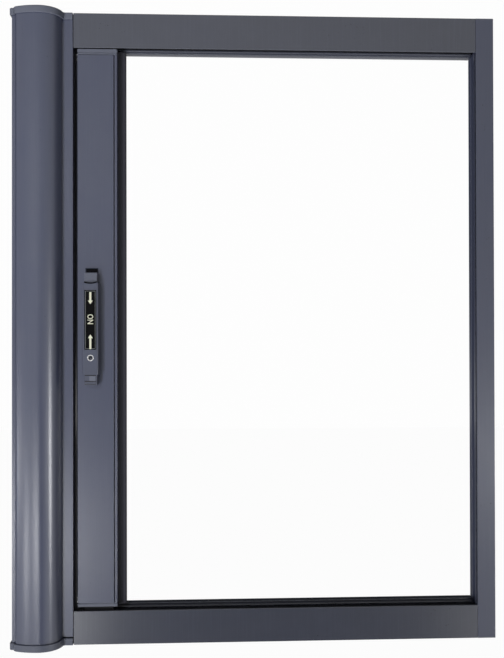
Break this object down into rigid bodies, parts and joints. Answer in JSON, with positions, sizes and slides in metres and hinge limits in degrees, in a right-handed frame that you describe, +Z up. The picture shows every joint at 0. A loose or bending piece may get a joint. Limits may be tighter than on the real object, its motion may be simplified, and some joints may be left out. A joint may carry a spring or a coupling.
{
  "type": "retractable screen door",
  "caption": "Short retractable insect screen door: round-nosed roller cassette, channel rails, strike jamb and a sliding pull bar with a pinch latch.",
  "frame": {"origin": "on the cassette's flat rear face, at the middle of its width and height", "axes": "+X from the cassette to the strike jamb, -Y the front, +Z up"},
  "size_m": [0.6164, 0.0629, 0.8],
  "materials": {
    "powder_coat": "slate grey powder coat on extruded aluminium",
    "cap_plastic": "moulded slate grey",
    "brush_pile": "black woven brush pile",
    "bare_aluminium": "mill finish",
    "black_nylon": "black nylon",
    "screen_cloth": "coated glass fibre insect mesh",
    "magnet_rubber": "magnetic rubber strip",
    "seal_rubber": "dark grey rubber",
    "handle_plastic": "moulded slate grey",
    "label_black": "satin black",
    "plated_steel": "zinc plated"
  },
  "bodies": {
    "frame": {"cassette_back_shell": "powder_coat", "cassette_round_cover": "powder_coat", "cassette_top_cap": "cap_plastic", "cassette_bottom_cap": "cap_plastic", "cassette_slot_piles": "brush_pile", "roller_tube": "bare_aluminium", "roller_top_bearing": "black_nylon", "roller_bottom_bearing": "black_nylon", "screen_roll": "screen_cloth", "screen_mesh": "screen_cloth", "top_rail": "powder_coat", "bottom_rail": "powder_coat", "top_rail_piles": "brush_pile", "bottom_rail_piles": "brush_pile", "top_rail_plugs": "black_nylon", "bottom_rail_plugs": "black_nylon", "strike_jamb": "powder_coat", "jamb_end_caps": "cap_plastic", "jamb_magnet_strip": "magnet_rubber", "jamb_pile": "brush_pile"},
    "pull_bar": {"pull_bar": "powder_coat", "pull_bar_top_cap": "cap_plastic", "pull_bar_bottom_cap": "cap_plastic", "top_guide_shoe": "black_nylon", "bottom_guide_shoe": "black_nylon", "closing_seal": "seal_rubber", "mesh_spline": "seal_rubber", "handle_body": "handle_plastic", "handle_label": "label_black", "handle_screw": "plated_steel", "rear_finger_pull": "handle_plastic"},
    "top_button": {"top_button": "handle_plastic"},
    "bottom_button": {"bottom_button": "handle_plastic"}
  },
  "joints": [
    {"name": "pull_bar_slide", "type": "slide", "parent": "frame", "child": "pull_bar", "axis": [1, 0, 0], "range_m": [0, 0.4599], "stiffness_N_per_m": 8, "springref_m": -0.5, "deforming": ["screen_mesh"]},
    {"name": "top_button_slide", "type": "slide", "parent": "pull_bar", "child": "top_button", "axis": [0, 0, -1], "range_m": [0, 0.0045], "stiffness_N_per_m": 200, "springref_m": -0.0075},
    {"name": "bottom_button_slide", "type": "slide", "parent": "pull_bar", "child": "bottom_button", "axis": [0, 0, 1], "range_m": [0, 0.0045], "stiffness_N_per_m": 200, "springref_m": -0.0075}
  ]
}
